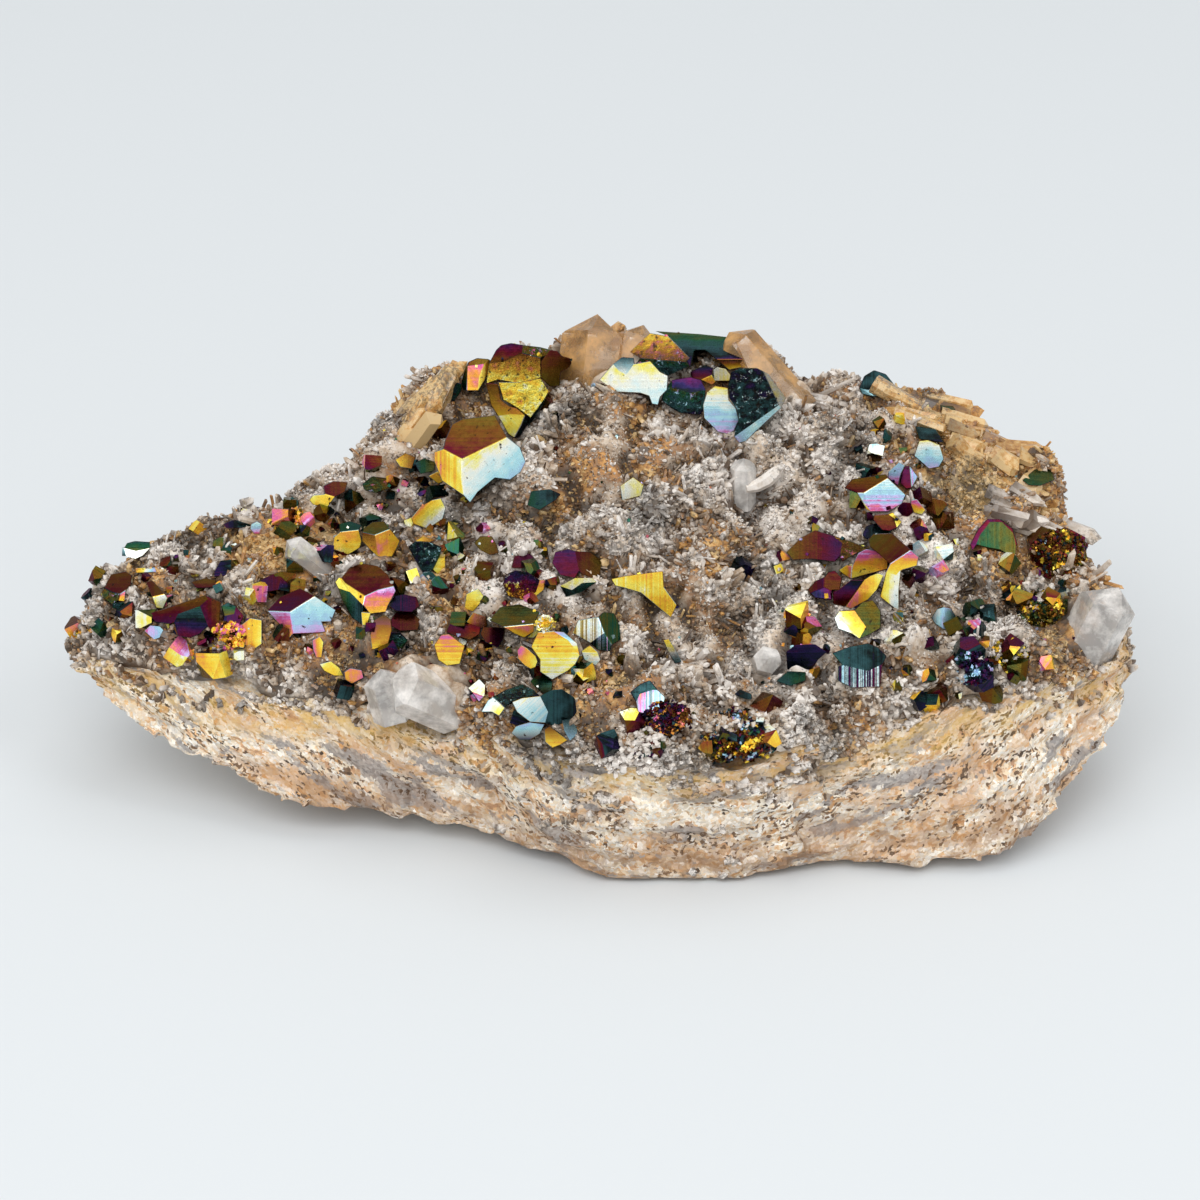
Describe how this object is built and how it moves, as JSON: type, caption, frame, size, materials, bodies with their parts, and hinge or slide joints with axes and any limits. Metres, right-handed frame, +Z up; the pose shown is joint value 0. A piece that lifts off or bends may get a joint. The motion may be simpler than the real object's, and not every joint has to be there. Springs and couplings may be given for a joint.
{
  "type": "rainbow pyrite on quartz specimen",
  "caption": "Natural mineral specimen: iridescent pyrite crystals and quartz points on a quartz-crusted block of pale granite, resting on a small flat spot.",
  "frame": {"origin": "on the flat spot that the stone rests on, under the middle of the block", "axes": "+X along the stone's length towards its blunt end, +Y towards its high back, +Z up out of the flat spot"},
  "size_m": [0.12, 0.0631, 0.0432],
  "materials": {
    "granite": "matte",
    "quartz": "satin",
    "clear_quartz": "gloss",
    "pyrite": "polished"
  },
  "bodies": {
    "root": {"granite_block": "granite", "pyrite_amber_cluster": "pyrite", "pyrite_back_centre_cluster": "pyrite", "pyrite_back_left_cluster": "pyrite", "pyrite_back_right_ball": "pyrite", "pyrite_blue_cone": "pyrite", "pyrite_blue_copper_cluster": "pyrite", "pyrite_bright_plate": "pyrite", "pyrite_brown_back": "pyrite", "pyrite_burgundy_ball": "pyrite", "pyrite_burgundy_cluster": "pyrite", "pyrite_copper_mound": "pyrite", "pyrite_cyan_cluster": "pyrite", "pyrite_dark_cluster": "pyrite", "pyrite_dark_green_small": "pyrite", "pyrite_gold_block": "pyrite", "pyrite_gold_large": "pyrite", "pyrite_gold_mound": "pyrite", "pyrite_gold_small": "pyrite", "pyrite_grain_column": "pyrite", "pyrite_grain_patch": "pyrite", "pyrite_green_back": "pyrite", "pyrite_green_edge": "pyrite", "pyrite_green_shard": "pyrite", "pyrite_green_wedge": "pyrite", "pyrite_left_cluster": "pyrite", "pyrite_left_tip": "pyrite", "pyrite_maroon_left": "pyrite", "pyrite_navy_small": "pyrite", "pyrite_olive_back": "pyrite", "pyrite_olive_small": "pyrite", "pyrite_pink_disc": "pyrite", "pyrite_purple_olive": "pyrite", "pyrite_rainbow_large": "pyrite", "pyrite_right_cluster": "pyrite", "pyrite_striped": "pyrite", "pyrite_sun": "pyrite", "pyrite_teal_comb": "pyrite", "pyrite_teal_curved": "pyrite", "pyrite_teal_large": "pyrite", "pyrite_teal_left": "pyrite", "pyrite_violet_small": "pyrite", "pyrite_white_pentagon": "pyrite", "pyrite_yellow_left": "pyrite", "pyrite_yellow_pair": "pyrite", "pyrite_yellow_pentagon": "pyrite", "quartz_blade_left": "clear_quartz", "quartz_block_right": "clear_quartz", "quartz_crust": "quartz", "quartz_hexagon_front": "clear_quartz", "quartz_pair_front_left": "clear_quartz", "quartz_peaks_back": "clear_quartz", "quartz_point_centre": "clear_quartz", "quartz_prism_back_right": "clear_quartz"}
  },
  "joints": []
}
